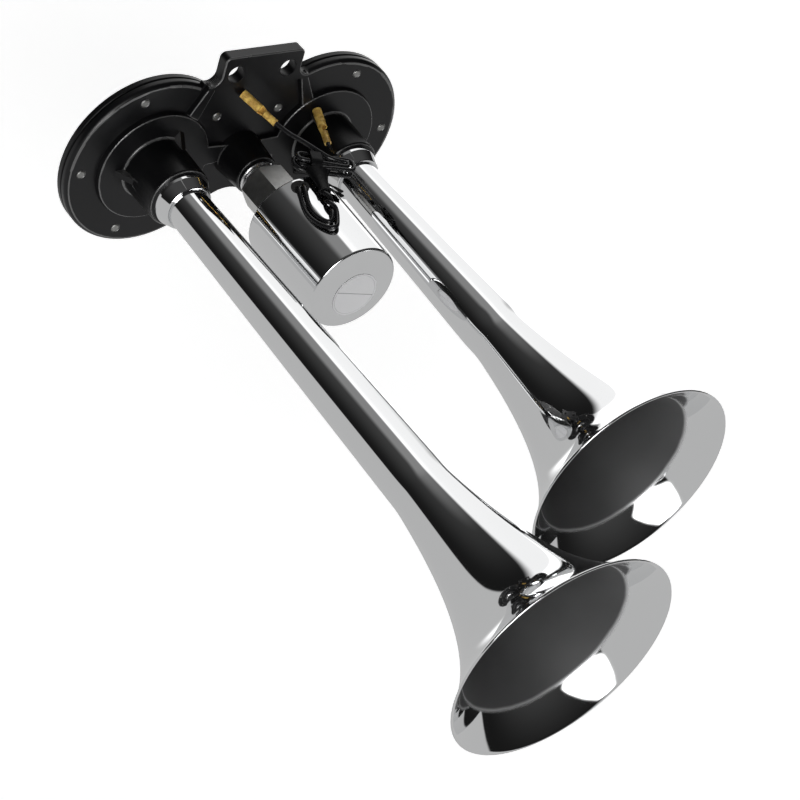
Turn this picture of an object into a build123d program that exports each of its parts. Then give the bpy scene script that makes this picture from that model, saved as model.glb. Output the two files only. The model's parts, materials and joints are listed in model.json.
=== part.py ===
from build123d import *
import math
import os

# A dual-trumpet air horn: one cast housing carries two diaphragm chambers, two spun
# trumpets of different length and a screw-in solenoid valve between them. The housing is
# bolted up by the two-hole bracket at its top. All lengths are millimetres, all angles degrees.
#
# Every piece is drawn on a bench frame: X to the right, Y up, Z forward to the bells, with
# z = 0 on the front face of the flanges and the trumpet axes at y = 0. The last step turns
# the bench frame into the part's own frame: Z up, bells towards -Y, origin on the bracket's
# rear face midway between the bolt holes.

# ---- housing ------------------------------------------------------------------------------
AXIS_X = 47.8              # each trumpet axis from the middle
FLANGE_R = 45.0
FLANGE_T = 4.0             # flange plate, from the front face back to the diaphragm
RIM_FILLET = 2.4
RAISED_R = 29.7            # raised disc round each socket
RAISED_H = 2.7
DRAFT = 14.0               # slope of the raised faces' walls
CAST_EDGE = 0.5            # small radius on the raised edges
SOCKET_R = 16.4            # trumpet socket at its base
SOCKET_MOUTH_R = 15.8
SOCKET_H = 27.0
SOCKET_LIP = 1.2
SOCKET_FOOT = 1.0          # fillet where the socket meets the raised disc
GUSSET_T = 3.0
GUSSET_REACH = 21.4        # outer end of a gusset, from the trumpet axis
GUSSET_H = 11.5
GUSSET_ANGLES = (60, 180, 300)
WEB_BLEND_R = 16.2         # concave blend between the two flanges, below the valve

# ---- bracket ------------------------------------------------------------------------------
BRACKET_T = 6.0
BRACKET_HALF_W = 22.0
BRACKET_TOP = 57.2
BRACKET_CORNER = 2.8
BRACKET_EDGE = 0.7
BRACKET_BLEND_R = 5.0      # concave notch beside the bracket, above each flange
BRACKET_BLEND_Y = 47.0
HOLE_Y = 47.4
HOLE_SPACING = 29.0
HOLE_R = 4.5
POCKET_TOP = 40.0
POCKET_CORNER_X = 23.6
RIB_TOP_X, RIB_TOP_Y = 28.0, 42.6
RIB_FOOT_X, RIB_FOOT_Y = 35.9, 26.6
POCKET_FOOT_X, POCKET_FOOT_Y = 29.2, 22.4

# ---- air way ------------------------------------------------------------------------------
CHAMBER_R = 27.0
CHAMBER_WALL = 2.5         # left in front of the chamber
NOZZLE_R = 12.0
THROAT_R = 8.0
DUCT_TOP = 7.0
ARCH_TOP = -3.6            # cored arches under the duct, one on each side of the valve boss
ARCH_R = 9.0
DUCT_R = 2.0
DUCT_Y = 1.5
SOCKET_FLOOR = 5.0
TUBE_SEAL_T = 1.5

# ---- cover, diaphragm and screws ----------------------------------------------------------
SCREW_CIRCLE = 37.7
SCREW_R = 2.0
SCREW_GAP = 0.05
SCREW_CLEAR_R = 2.3
SCREW_HEAD_R, SCREW_HEAD_H = 3.8, 2.4
SCREW_END = 0.2            # the thread's end stands this far out of the flange
SCREW_CHAMFER = 0.4
SCREW_RECESS_W, SCREW_RECESS_L, SCREW_RECESS_DEPTH = 0.9, 4.2, 1.3
SCREW_COUNT = 5
SCREW_FIRST = 36
DIAPHRAGM_R = 43.2
DIAPHRAGM_T = 0.4
GASKET_T = 0.6
GASKET_INNER_R = 32.0
COVER_T = 3.0
COVER_WALL = 2.2
COVER_DOME_R = 29.5
COVER_DOME_H = 5.5
COVER_DRAFT = 1.5
COVER_EDGE = 1.4

# ---- trumpets -----------------------------------------------------------------------------
TUBE_ROOT_R = 10.3
TUBE_END_R = 13.8          # where the bell's flare begins
TUBE_STRAIGHT = 36.0       # parallel end, up to this far in front of the flanges
FLARE_LENGTH = 112.0
FLARE_OFFSET = 47.4        # bell law: r = bell * (offset / (s + offset)) ** power
FLARE_POWER = 1.178
FLARE_STATIONS = (0, 8, 18, 30, 46, 64, 82, 97)
TRUMPET_WALL = 1.0
LONG_LENGTH, LONG_BELL_R = 332.3, 53.4
SHORT_LENGTH, SHORT_BELL_R = 256.8, 51.9
COLLAR_R = 13.8
COLLAR_SHOULDER = 29.5     # where the collar's cone starts
COLLAR_END, COLLAR_END_R = 34.7, 11.4
COLLAR_EDGE = 0.5
FIT_GAP = 0.05

# ---- valve --------------------------------------------------------------------------------
VALVE_Y = -1.9
BOSS_R, BOSS_MOUTH_R, BOSS_H = 14.8, 12.7, 19.0
BOSS_LIP = 1.2
THREAD_R = 8.2
THREAD_START = 7.5
BORE_FLOOR = 6.0
AIR_R = 3.0
OUTLET_R = 4.0
HEX_FLATS = 22.0
HEX_START, HEX_END = 25.0, 50.9
HEX_CHAMFER = 1.2
ORIFICE_R = 2.5
SEAT_R, SEAT_FLOOR, SEAT_Z = 3.6, 27.0, 28.5
CHAMBER_BORE_R = 5.8
INLET_R, INLET_DEPTH = 4.28, 4.2
INLET_WAY_R = 2.4
INLET_Z = 34.0
GUIDE_COUNTERBORE = 41.0
GUIDE_R, GUIDE_WALL = 7.8, 0.8
O_RING_SECTION = 0.9
PLUNGER_TRAVEL = 1.8
PLUNGER_REST = 0.1         # left between the plunger and the core at full travel
PLUNGER_GAP = 0.05
PLUNGER_NOSE_R = 5.0
PLUNGER_SHOULDER = 44.0
CORE_FACE = 76.0
CORE_HEAD_H = 2.0
CORE_HEAD_ROOM = 3.4       # left between the core's head and the can's end
SEAL_R, SEAL_T, SEAL_PROUD = 4.4, 2.4, 1.2
SEAL_GAP = 0.02            # the closed seal against its seat
SPRING_R, SPRING_WIRE_R, SPRING_TURNS = 2.5, 0.35, 6
SPRING_POCKET_R, SPRING_POCKET_DEPTH = 3.3, 13.0
CAN_R, CAN_WALL, CAN_END = 22.6, 0.8, 105.0
CAN_EDGE = 1.2
CAN_RIM_EDGE = 0.35
PLATE_T = 2.0
BOBBIN_WALL, BOBBIN_FLANGE_R, BOBBIN_FLANGE_T = 1.0, 20.5, 1.6
WINDING_R = 18.6

# ---- wires and their bullet terminals -----------------------------------------------------
WIRE_R = 1.1
GROMMET_Z, GROMMET_TURN = 56.2, -12.6
GROMMET_R, GROMMET_LIP_R, GROMMET_LIP_T = 3.6, 4.3, 0.7
# A point on the can is (turn from its top, distance from its axis, z).
LEAD_A_ROOT = (
    (-16.2, 19.2, 56.0), (-16.2, 24.0, 56.2), (-19.2, 26.2, 60.2), (-25.8, 25.0, 66.5),
    (-29.4, 24.3, 73.5), (-28.0, 24.3, 80.5), (-21.5, 24.5, 86.8), (-13.0, 24.6, 88.4),
    (-6.5, 24.5, 84.3), (-0.7, 24.3, 78.5), (4.8, 24.2, 72.0), (9.5, 24.3, 65.0), (13.2, 24.4, 58.0),
    (14.8, 25.0, 51.2),
)
LEAD_B_ROOT = (
    (-9.0, 19.2, 56.0), (-9.2, 24.0, 56.2), (-13.4, 26.0, 60.8), (-19.4, 25.0, 67.0),
    (-22.8, 24.3, 73.5), (-21.6, 24.3, 79.0), (-17.8, 24.5, 83.6), (-12.2, 24.5, 83.6),
    (-7.8, 24.4, 79.4), (-3.8, 24.3, 74.6), (0.6, 24.2, 69.2), (4.6, 24.3, 63.0), (7.4, 24.5, 57.0),
    (9.6, 25.0, 50.3),
)
HANK_LENGTH, HANK_WIDTH, HANK_HEIGHT = 27.0, 11.0, 7.4
HANK_ROUND = 3.5
HANK_CENTRE = (12.8, 24.1, 47.6)
HANK_TURN, HANK_TILT = -22.2, -4.6
TIE_WIDTH, TIE_T, TIE_OFFSET = 5.4, 0.7, -5.2
TERMINAL_LENGTH = 20.9
BARREL_R, BARREL_BORE, BARREL_LENGTH = 2.25, 1.8, 11.0
BARREL_WEB = 1.2
NECK_LENGTH = 3.0
CRIMP_R = 1.75
CRIMP_DEPTH = 5.0
TERMINAL_A_TIP, TERMINAL_A_AIM = (-6.9, 34.9, 1.4), (1.8, 29.4, 20.0)
TERMINAL_B_TIP, TERMINAL_B_AIM = (37.6, 20.7, 4.3), (32.8, 16.1, 23.6)
LEAD_A_END = ((14.4, 27.1, 45.0), (8.6, 28.7, 35.4))
LEAD_B_END = ((22.4, 23.4, 45.6), (26.0, 20.9, 38.0))


def turned(points):
    """A ring or disc turned about the Z axis from (radius, z) corners."""
    return revolve(Plane.XZ * make_face(Polyline(*points, close=True)), Axis.Z)


def tube(outer, inner, start, end):
    """A plain ring between two heights."""
    return turned([(inner, start), (outer, start), (outer, end), (inner, end)])


def rod(radius, start, end):
    """A plain round bar between two heights."""
    return turned([(0, start), (radius, start), (radius, end), (0, end)])


def highest(shape):
    """The edges at the greatest height."""
    return shape.edges().group_by(Axis.Z)[-1]


def at_trumpet(side):
    """Place of the long (-1) or the short (+1) trumpet's axis."""
    return Pos(side * AXIS_X, 0, 0)


def screw_places(side):
    """The cover screws of one flange, mirrored from side to side."""
    for k in range(SCREW_COUNT):
        turn = math.radians(SCREW_FIRST + 360 / SCREW_COUNT * k)
        x = AXIS_X - SCREW_CIRCLE * math.cos(turn)
        yield Pos(side * x, SCREW_CIRCLE * math.sin(turn), 0)


# ---- the cast housing ---------------------------------------------------------------------
DIAPHRAGM_Z = -FLANGE_T
GASKET_Z = DIAPHRAGM_Z - DIAPHRAGM_T
COVER_Z = GASKET_Z - GASKET_T
COVER_BACK = COVER_Z - COVER_T
BRACKET_BACK = RAISED_H - BRACKET_T
DUCT_Z = (RAISED_H + BRACKET_BACK) / 2
SEAL_TOP = SOCKET_FLOOR + TUBE_SEAL_T
SOCKET_BORE_R = COLLAR_R + FIT_GAP
VALVE_BORE_R = THREAD_R + FIT_GAP


def both_sides(shape):
    """A shape and its mirror image on the other side of the middle."""
    return shape + mirror(shape, Plane.YZ)


def flange_plate():
    """One flange plate with its rounded front rim."""
    plate = rod(FLANGE_R, DIAPHRAGM_Z, 0)
    return fillet(highest(plate), RIM_FILLET)


def web_outline():
    """Front view of the plate between the flanges, notched beside the bracket."""
    low_y = -math.sqrt((FLANGE_R + WEB_BLEND_R) ** 2 - AXIS_X ** 2)
    low = make_face(Polyline((-AXIS_X, 0), (AXIS_X, 0), (0, low_y), close=True))
    notch_x = BRACKET_HALF_W + BRACKET_BLEND_R
    high = make_face(Polyline((0, 0), (AXIS_X, 0), (notch_x, BRACKET_BLEND_Y),
                              (0, BRACKET_BLEND_Y), close=True))
    high -= Pos(notch_x, BRACKET_BLEND_Y) * Circle(BRACKET_BLEND_R)
    return low - Pos(0, low_y) * Circle(WEB_BLEND_R) + both_sides(high)


def bracket_outline():
    """Front view of the bolted plate, with its foot spread out to the ribs."""
    plate = Rectangle(2 * BRACKET_HALF_W, BRACKET_TOP - POCKET_TOP, align=(Align.CENTER, Align.MIN))
    plate = Pos(0, POCKET_TOP) * plate
    plate = fillet(plate.vertices().group_by(Axis.Y)[-1], BRACKET_CORNER)
    notch_x = BRACKET_HALF_W + BRACKET_BLEND_R
    foot = make_face(Polyline((0, POCKET_TOP), (RIB_TOP_X, POCKET_TOP), (RIB_TOP_X, BRACKET_BLEND_Y),
                              (0, BRACKET_BLEND_Y), close=True))
    foot -= Pos(notch_x, BRACKET_BLEND_Y) * Circle(BRACKET_BLEND_R)
    return plate + both_sides(foot)


def raised_walls():
    """The drafted raised faces: a disc round each socket, the duct and the two ribs."""
    slope = RAISED_H * math.tan(math.radians(DRAFT))
    disc = turned([(0, 0), (RAISED_R, 0), (RAISED_R - slope, RAISED_H), (0, RAISED_H)])
    disc = fillet(highest(disc), CAST_EDGE)
    arch_x = (BOSS_R + AXIS_X - RAISED_R) / 2
    duct = make_face(Polyline((0, ARCH_TOP - ARCH_R), (AXIS_X, ARCH_TOP - ARCH_R),
                              (AXIS_X, DUCT_TOP), (0, DUCT_TOP), close=True))
    duct -= Pos(arch_x, ARCH_TOP - ARCH_R) * Circle(ARCH_R)
    duct = extrude(duct, RAISED_H)
    shown = highest(duct).filter_by(Axis.Y, reverse=True)
    shown = shown.filter_by(lambda e: e.center().Y > ARCH_TOP - ARCH_R / 2)
    duct = fillet(shown, CAST_EDGE)
    rib = Polyline((POCKET_CORNER_X, POCKET_TOP), (RIB_TOP_X, RIB_TOP_Y), (RIB_FOOT_X, RIB_FOOT_Y),
                   (POCKET_FOOT_X, POCKET_FOOT_Y), close=True)
    rib = extrude(make_face(rib), RAISED_H, taper=DRAFT)
    rib = fillet(highest(rib), CAST_EDGE)
    return both_sides(at_trumpet(1) * disc + duct + rib)


def socket_tube():
    """A trumpet socket with its rounded lip and three gussets, on its own axis."""
    foot = SOCKET_R + 2 * SOCKET_FOOT
    section = make_face(Polyline((0, 0), (foot, 0), (foot, RAISED_H), (SOCKET_R, RAISED_H),
                                 (SOCKET_MOUTH_R, SOCKET_H), (0, SOCKET_H), close=True))
    inner_corner = section.vertices().filter_by(lambda v: v.Y == RAISED_H).sort_by(Axis.X)[0]
    wall = revolve(Plane.XZ * fillet(inner_corner, SOCKET_FOOT), Axis.Z)
    wall = fillet(highest(wall), SOCKET_LIP)
    web = Polyline((0, 0), (GUSSET_REACH, 0), (GUSSET_REACH, RAISED_H), (SOCKET_MOUTH_R, GUSSET_H),
                   (0, GUSSET_H), close=True)
    gusset = extrude(Plane.XZ * make_face(web), GUSSET_T / 2, both=True)
    for angle in GUSSET_ANGLES:
        wall += Rot(0, 0, angle) * gusset
    return wall


def air_chamber():
    """The ring-shaped chamber behind one flange, its throat and the trumpet's bore."""
    chamber = tube(CHAMBER_R, NOZZLE_R, DIAPHRAGM_Z, RAISED_H - CHAMBER_WALL)
    throat = rod(THROAT_R, DIAPHRAGM_Z, SOCKET_FLOOR)
    return chamber + throat + rod(SOCKET_BORE_R, SOCKET_FLOOR, SOCKET_H)


def front_housing():
    """The casting: two flanges, the web and bracket, the sockets and the valve boss."""
    web = extrude(web_outline(), -BRACKET_BACK, dir=(0, 0, -1))
    bracket = Pos(0, 0, BRACKET_BACK) * extrude(bracket_outline(), BRACKET_T)
    free = highest(bracket).filter_by(lambda e: e.center().Y > POCKET_TOP and abs(e.center().X) < RIB_TOP_X)
    bracket = fillet(free, BRACKET_EDGE)
    body = web + both_sides(at_trumpet(1) * flange_plate()) + raised_walls() + bracket
    boss = turned([(0, 0), (BOSS_R, 0), (BOSS_MOUTH_R, BOSS_H), (0, BOSS_H)])
    body += Pos(0, VALVE_Y, 0) * fillet(highest(boss), BOSS_LIP)
    body += both_sides(at_trumpet(-1) * socket_tube())
    for side in (-1, 1):
        body -= at_trumpet(side) * air_chamber()
        body -= Pos(side * HOLE_SPACING / 2, HOLE_Y, 0) * rod(HOLE_R, BRACKET_BACK, RAISED_H)
        for place in screw_places(side):
            body -= place * rod(SCREW_R + SCREW_GAP, DIAPHRAGM_Z, 0)
            body -= place * turned([(0, -SCREW_CHAMFER), (SCREW_R, -SCREW_CHAMFER),
                                    (SCREW_R + 2 * SCREW_CHAMFER, SCREW_CHAMFER), (0, SCREW_CHAMFER)])
    reach = AXIS_X - (CHAMBER_R + NOZZLE_R) / 2
    body -= Pos(0, DUCT_Y, DUCT_Z) * Rot(0, 90, 0) * Cylinder(DUCT_R, 2 * reach)
    body -= Pos(0, VALVE_Y, 0) * (rod(AIR_R, DUCT_Z, BORE_FLOOR) + rod(VALVE_BORE_R, BORE_FLOOR, BOSS_H))
    return body


# ---- diaphragms, gaskets, covers and screws -----------------------------------------------
def screw_holes(side, radius, start, end):
    """The screws' clearance through one flange's stack of discs."""
    return [place * rod(radius, start, end) for place in screw_places(side)]


def diaphragm(side):
    """Thin spring steel disc, clamped at its rim and resting on the nozzle."""
    disc = at_trumpet(side) * rod(DIAPHRAGM_R, GASKET_Z, DIAPHRAGM_Z)
    return disc - screw_holes(side, SCREW_CLEAR_R, GASKET_Z, DIAPHRAGM_Z)


def gasket(side):
    """Fibre ring between the diaphragm and the rear cover."""
    ring = at_trumpet(side) * tube(DIAPHRAGM_R, GASKET_INNER_R, COVER_Z, GASKET_Z)
    return ring - screw_holes(side, SCREW_CLEAR_R, COVER_Z, GASKET_Z)


def rear_cover(side):
    """Cast cover: a flat rim with a shallow domed middle that leaves the diaphragm room."""
    top = COVER_BACK - COVER_DOME_H
    cover = turned([(0, COVER_Z), (FLANGE_R, COVER_Z), (FLANGE_R, COVER_BACK), (COVER_DOME_R, COVER_BACK),
                    (COVER_DOME_R - COVER_DRAFT, top), (0, top)])
    cover = fillet(cover.edges().group_by(Axis.Z)[0], COVER_EDGE)
    cover = fillet(cover.edges().group_by(Axis.Z)[-1], CAST_EDGE)
    hollow = COVER_DOME_R - COVER_WALL
    cover -= turned([(0, COVER_Z), (hollow, COVER_Z), (hollow - COVER_DRAFT, top + COVER_WALL),
                     (0, top + COVER_WALL)])
    return at_trumpet(side) * cover - screw_holes(side, SCREW_CLEAR_R, COVER_BACK, COVER_Z)


def cover_screw():
    """Pan-head screw with a cross recess, its thread run through to the flange's front."""
    back = COVER_BACK - SCREW_HEAD_H
    head = rod(SCREW_HEAD_R, back, COVER_BACK)
    head = fillet(head.edges().group_by(Axis.Z)[0], SCREW_HEAD_H / 3)
    shank = rod(SCREW_R, COVER_BACK, SCREW_END)
    shank = chamfer(highest(shank), SCREW_CHAMFER)
    on_head = (Align.CENTER, Align.CENTER, Align.MIN)
    slot = Box(SCREW_RECESS_L, SCREW_RECESS_W, SCREW_RECESS_DEPTH, align=on_head)
    recess = Pos(0, 0, back) * (slot + Rot(0, 0, 90) * slot)
    return head + shank - recess


def cover_screws(side):
    """The screws of one cover, kept as separate solids."""
    return [place * cover_screw() for place in screw_places(side)]


# ---- trumpets -----------------------------------------------------------------------------
def flare_point(length, bell, back, depth):
    """A point of the flare, this far back from the rim and this deep in the sheet."""
    radius = bell * (FLARE_OFFSET / (back + FLARE_OFFSET)) ** FLARE_POWER
    slope = FLARE_POWER * radius / (back + FLARE_OFFSET)
    tilt = math.atan(slope)
    rim_tilt = math.atan(FLARE_POWER * bell / FLARE_OFFSET)
    rim = length - TRUMPET_WALL * math.sin(rim_tilt)
    return (radius - depth * math.cos(tilt), rim - back + depth * math.sin(tilt))


def trumpet_side(length, bell, depth):
    """Half section of the trumpet's outer (depth 0) or inner face, from root to rim."""
    root = TUBE_ROOT_R - depth
    neck = (TUBE_END_R - depth, length - FLARE_LENGTH)
    taper = (neck[0] - root, neck[1] - TUBE_STRAIGHT)
    flare = [flare_point(length, bell, back, depth) for back in FLARE_STATIONS]
    rim_slope = FLARE_POWER * bell / FLARE_OFFSET
    flare = Spline(neck, *reversed(flare), tangents=(taper, (rim_slope, 1)))
    return Line((root, SEAL_TOP), (root, TUBE_STRAIGHT)) + Line((root, TUBE_STRAIGHT), neck) + flare


def trumpet(side, length, bell):
    """A spun trumpet: parallel root, long taper and a flared bell of even wall."""
    outer = trumpet_side(length, bell, 0)
    inner = trumpet_side(length, bell, TRUMPET_WALL)
    rim = Line(flare_point(length, bell, 0, 0), flare_point(length, bell, 0, TRUMPET_WALL))
    root = Line((TUBE_ROOT_R, SEAL_TOP), (TUBE_ROOT_R - TRUMPET_WALL, SEAL_TOP))
    horn = revolve(Plane.XZ * make_face(outer + rim + inner + root), Axis.Z)
    rims = horn.edges().filter_by(GeomType.CIRCLE).sort_by(SortBy.RADIUS)[-2:]
    horn = fillet(rims, TRUMPET_WALL * 0.4)
    return at_trumpet(side) * horn


def collar(side):
    """Turned ferrule that holds the trumpet's root in its socket."""
    bore = TUBE_ROOT_R + FIT_GAP
    ring = turned([(bore, SEAL_TOP), (COLLAR_R, SEAL_TOP), (COLLAR_R, COLLAR_SHOULDER),
                   (COLLAR_END_R, COLLAR_END), (bore, COLLAR_END)])
    shoulder = ring.edges().filter_by(lambda e: math.isclose(e.center().Z, COLLAR_SHOULDER))
    ring = fillet(shoulder, COLLAR_EDGE)
    ring = fillet(highest(ring).sort_by(SortBy.RADIUS)[-1], COLLAR_EDGE)
    return at_trumpet(side) * ring


def tube_seal(side):
    """Rubber washer under the trumpet's root."""
    return at_trumpet(side) * tube(COLLAR_R, THROAT_R, SOCKET_FLOOR, SEAL_TOP)


# ---- solenoid valve, on its own axis ------------------------------------------------------
GUIDE_START = GUIDE_COUNTERBORE + 2 * O_RING_SECTION
GUIDE_BORE_R = GUIDE_R - GUIDE_WALL
PLUNGER_R = GUIDE_BORE_R - PLUNGER_GAP
PLUNGER_END = CORE_FACE - PLUNGER_TRAVEL - PLUNGER_REST
NOSE_Z = SEAT_Z + SEAL_GAP + SEAL_PROUD
SPRING_POCKET_Z = PLUNGER_END - SPRING_POCKET_DEPTH
PLATE_BACK = HEX_END + PLATE_T
CAN_BORE_R = CAN_R - CAN_WALL
CAN_FLOOR = CAN_END - CAN_WALL
GUIDE_END = CAN_FLOOR - CORE_HEAD_ROOM - CORE_HEAD_H
on_valve = Pos(0, VALVE_Y, 0)


def valve_body():
    """Hexagon with a threaded nipple, an inner seat and an air inlet in its lower flat."""
    hexagon = RegularPolygon(HEX_FLATS / 2, 6, major_radius=False)
    body = Pos(0, 0, HEX_START) * extrude(hexagon, HEX_END - HEX_START)
    corner = HEX_FLATS / math.sqrt(3)
    chamfer_end = HEX_START + HEX_CHAMFER * math.tan(math.radians(30))
    lead = turned([(0, HEX_START), (corner - HEX_CHAMFER, HEX_START), (corner, chamfer_end),
                   (corner, HEX_END), (0, HEX_END)])
    body = (body & lead) + rod(THREAD_R, THREAD_START, HEX_START)
    body -= rod(OUTLET_R, THREAD_START, SEAT_FLOOR - SEAL_T)
    body -= tube(CHAMBER_BORE_R, SEAT_R, SEAT_FLOOR, SEAT_Z)
    body -= rod(CHAMBER_BORE_R, SEAT_Z, GUIDE_COUNTERBORE)
    body -= rod(ORIFICE_R, SEAT_FLOOR - SEAL_T, SEAT_Z)
    body -= rod(GUIDE_R + FIT_GAP, GUIDE_COUNTERBORE, HEX_END)
    lower_flat = Pos(0, -HEX_FLATS / 2, INLET_Z) * Rot(90, 0, 0)
    inlet = lower_flat * Cylinder(INLET_R, 2 * INLET_DEPTH)
    inlet += lower_flat * Cylinder(INLET_WAY_R, HEX_FLATS)
    return on_valve * (body - inlet)


def valve_plunger():
    """Steel plunger: narrow nose with the seal's recess, spring pocket in its tail."""
    plunger = rod(PLUNGER_NOSE_R, NOSE_Z, PLUNGER_SHOULDER) + rod(PLUNGER_R, PLUNGER_SHOULDER, PLUNGER_END)
    plunger -= rod(SEAL_R, NOSE_Z, NOSE_Z + SEAL_T - SEAL_PROUD)
    return on_valve * (plunger - rod(SPRING_POCKET_R, SPRING_POCKET_Z, PLUNGER_END))


def plunger_seal():
    """Rubber disc that closes the seat."""
    return on_valve * rod(SEAL_R, NOSE_Z - SEAL_PROUD, NOSE_Z - SEAL_PROUD + SEAL_T)


def return_spring():
    """Helical spring between the plunger's pocket and the fixed core."""
    start = SPRING_POCKET_Z + SPRING_WIRE_R
    height = CORE_FACE - SPRING_WIRE_R - start
    coil = Helix(height / SPRING_TURNS, height, SPRING_R)
    wire = Plane(coil @ 0, z_dir=coil % 0) * Circle(SPRING_WIRE_R)
    return on_valve * Pos(0, 0, start) * sweep(wire, coil)


def guide_tube():
    """Thin tube that the plunger slides in."""
    return on_valve * tube(GUIDE_R, GUIDE_BORE_R, GUIDE_START, GUIDE_END)


def guide_o_ring():
    """O-ring under the guide tube."""
    middle = GUIDE_R - O_RING_SECTION
    return on_valve * Pos(0, 0, GUIDE_COUNTERBORE + O_RING_SECTION) * Torus(middle, O_RING_SECTION)


def fixed_core():
    """Steel core that pulls the plunger, with a head on the guide tube's end."""
    core = rod(GUIDE_BORE_R - FIT_GAP, CORE_FACE, GUIDE_END)
    return on_valve * (core + rod(GUIDE_R, GUIDE_END, GUIDE_END + CORE_HEAD_H))


def coil_bobbin():
    """Moulded spool over the guide tube."""
    bore = GUIDE_R + FIT_GAP
    spool = tube(bore + BOBBIN_WALL, bore, PLATE_BACK, CAN_FLOOR)
    spool += tube(BOBBIN_FLANGE_R, bore, PLATE_BACK, PLATE_BACK + BOBBIN_FLANGE_T)
    return on_valve * (spool + tube(BOBBIN_FLANGE_R, bore, CAN_FLOOR - BOBBIN_FLANGE_T, CAN_FLOOR))


def coil_winding():
    """The copper winding between the spool's flanges."""
    bore = GUIDE_R + FIT_GAP + BOBBIN_WALL
    return on_valve * tube(WINDING_R, bore, PLATE_BACK + BOBBIN_FLANGE_T, CAN_FLOOR - BOBBIN_FLANGE_T)


def can_plate():
    """Steel plate that closes the can against the hexagon."""
    return on_valve * tube(CAN_BORE_R - FIT_GAP, GUIDE_R + FIT_GAP, HEX_END, PLATE_BACK)


def in_grommet_hole(solid):
    """Stand a solid drawn along Z on the can's wire hole."""
    return on_valve * Rot(0, 0, -GROMMET_TURN) * Pos(0, 0, GROMMET_Z) * Rot(-90, 0, 0) * solid


def valve_can():
    """Drawn cup over the coil, with a hole for the wires."""
    can = rod(CAN_R, HEX_END, CAN_END)
    can = fillet(highest(can), CAN_EDGE)
    can = fillet(can.edges().group_by(Axis.Z)[0], CAN_RIM_EDGE)
    can = on_valve * (can - rod(CAN_BORE_R, HEX_END, CAN_FLOOR))
    return can - in_grommet_hole(rod(GROMMET_R, 0, CAN_R + CAN_WALL))


# ---- wires --------------------------------------------------------------------------------
def on_can(point):
    """Bench position of a point given by its turn, its distance from the can's axis and z."""
    turn, distance, z = point
    turn = math.radians(turn)
    return (distance * math.sin(turn), VALVE_Y + distance * math.cos(turn), z)


def corner_radii(name, points):
    """Arc radius for each corner: 0.45 of its shorter run over the half turn's tangent."""
    spots = [Vector(*point) for point in points]
    radii = []
    for before, corner, after in zip(spots, spots[1:], spots[2:]):
        half_turn = math.radians((corner - before).get_angle(after - corner)) / 2
        shorter = min((corner - before).length, (after - corner).length)
        radii.append(0.45 * shorter / math.tan(half_turn))
    print(name, "radii", [round(radius, 1) for radius in radii])
    return radii


def wire(name, points):
    """A round wire along straight runs joined by arcs."""
    path = FilletPolyline(*points, radius=corner_radii(name, points))
    solid = sweep(Plane(path @ 0, z_dir=path % 0) * Circle(WIRE_R), path)
    print(name, "length", round(path.length, 1), "volume ratio",
          round(solid.volume / (math.pi * WIRE_R ** 2 * path.length), 4))
    return solid


def terminal_frame(tip, aim):
    """The terminal's own frame: origin at its wire end, Z along it to the tip."""
    tip = Vector(*tip)
    along = (tip - Vector(*aim)).normalized()
    across = Vector(0, 0, 1).cross(along)
    return Plane(tip - along * TERMINAL_LENGTH, x_dir=across, z_dir=along)


def bullet_terminal():
    """Rolled brass socket: open barrel, half-round neck and crimp, Z to the tip."""
    barrel_start = TERMINAL_LENGTH - BARREL_LENGTH
    crimp_end = barrel_start - NECK_LENGTH
    barrel = tube(BARREL_R, BARREL_BORE, barrel_start, TERMINAL_LENGTH)
    crimp = tube(CRIMP_R, WIRE_R, 0, crimp_end)
    neck = turned([(BARREL_BORE, barrel_start + BARREL_WEB), (BARREL_R, barrel_start + BARREL_WEB),
                   (BARREL_R, barrel_start), (CRIMP_R, crimp_end), (CRIMP_R, crimp_end - BARREL_WEB),
                   (WIRE_R, crimp_end - BARREL_WEB), (WIRE_R, crimp_end), (BARREL_BORE, barrel_start)])
    upper = Box(4 * BARREL_R, 2 * BARREL_R, NECK_LENGTH, align=(Align.CENTER, Align.MIN, Align.MIN))
    return barrel + crimp + neck - Pos(0, 0, crimp_end) * upper


def lead_end(name, start, tip, aim):
    """The wire from the hank into its terminal's crimp."""
    frame = terminal_frame(tip, aim)
    bend = frame.from_local_coords(Vector(0, 0, -CRIMP_DEPTH))
    crimped = frame.from_local_coords(Vector(0, 0, CRIMP_DEPTH))
    return wire(name, [*start, bend, crimped])


def in_hank(solid):
    """Stand a solid drawn about the origin in the hank's place."""
    return Pos(*HANK_CENTRE) * Rot(0, HANK_TURN, HANK_TILT) * solid


def lead_hank():
    """The folded bundle of spare wire as one solid."""
    block = Box(HANK_LENGTH, HANK_HEIGHT, HANK_WIDTH)
    return in_hank(fillet(block.edges(), HANK_ROUND))


def hank_tie():
    """Band round the middle of the hank."""
    band = Box(TIE_WIDTH, HANK_HEIGHT + 2 * TIE_T, HANK_WIDTH + 2 * TIE_T)
    band = fillet(band.edges().filter_by(Axis.X), HANK_ROUND + TIE_T)
    core = Box(TIE_WIDTH, HANK_HEIGHT, HANK_WIDTH)
    band -= fillet(core.edges().filter_by(Axis.X), HANK_ROUND)
    return in_hank(Pos(TIE_OFFSET, 0, 0) * band)


def lead_grommet(wires):
    """Rubber plug in the can's wire hole, moulded round the two wires."""
    plug = rod(GROMMET_R - FIT_GAP, CAN_BORE_R, CAN_R + CAN_WALL)
    plug += rod(GROMMET_LIP_R, CAN_R, CAN_R + GROMMET_LIP_T)
    plug = in_grommet_hole(plug) - on_valve * rod(CAN_R + FIT_GAP, HEX_END, PLATE_BACK + BOBBIN_FLANGE_T)
    return plug - wires


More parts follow.
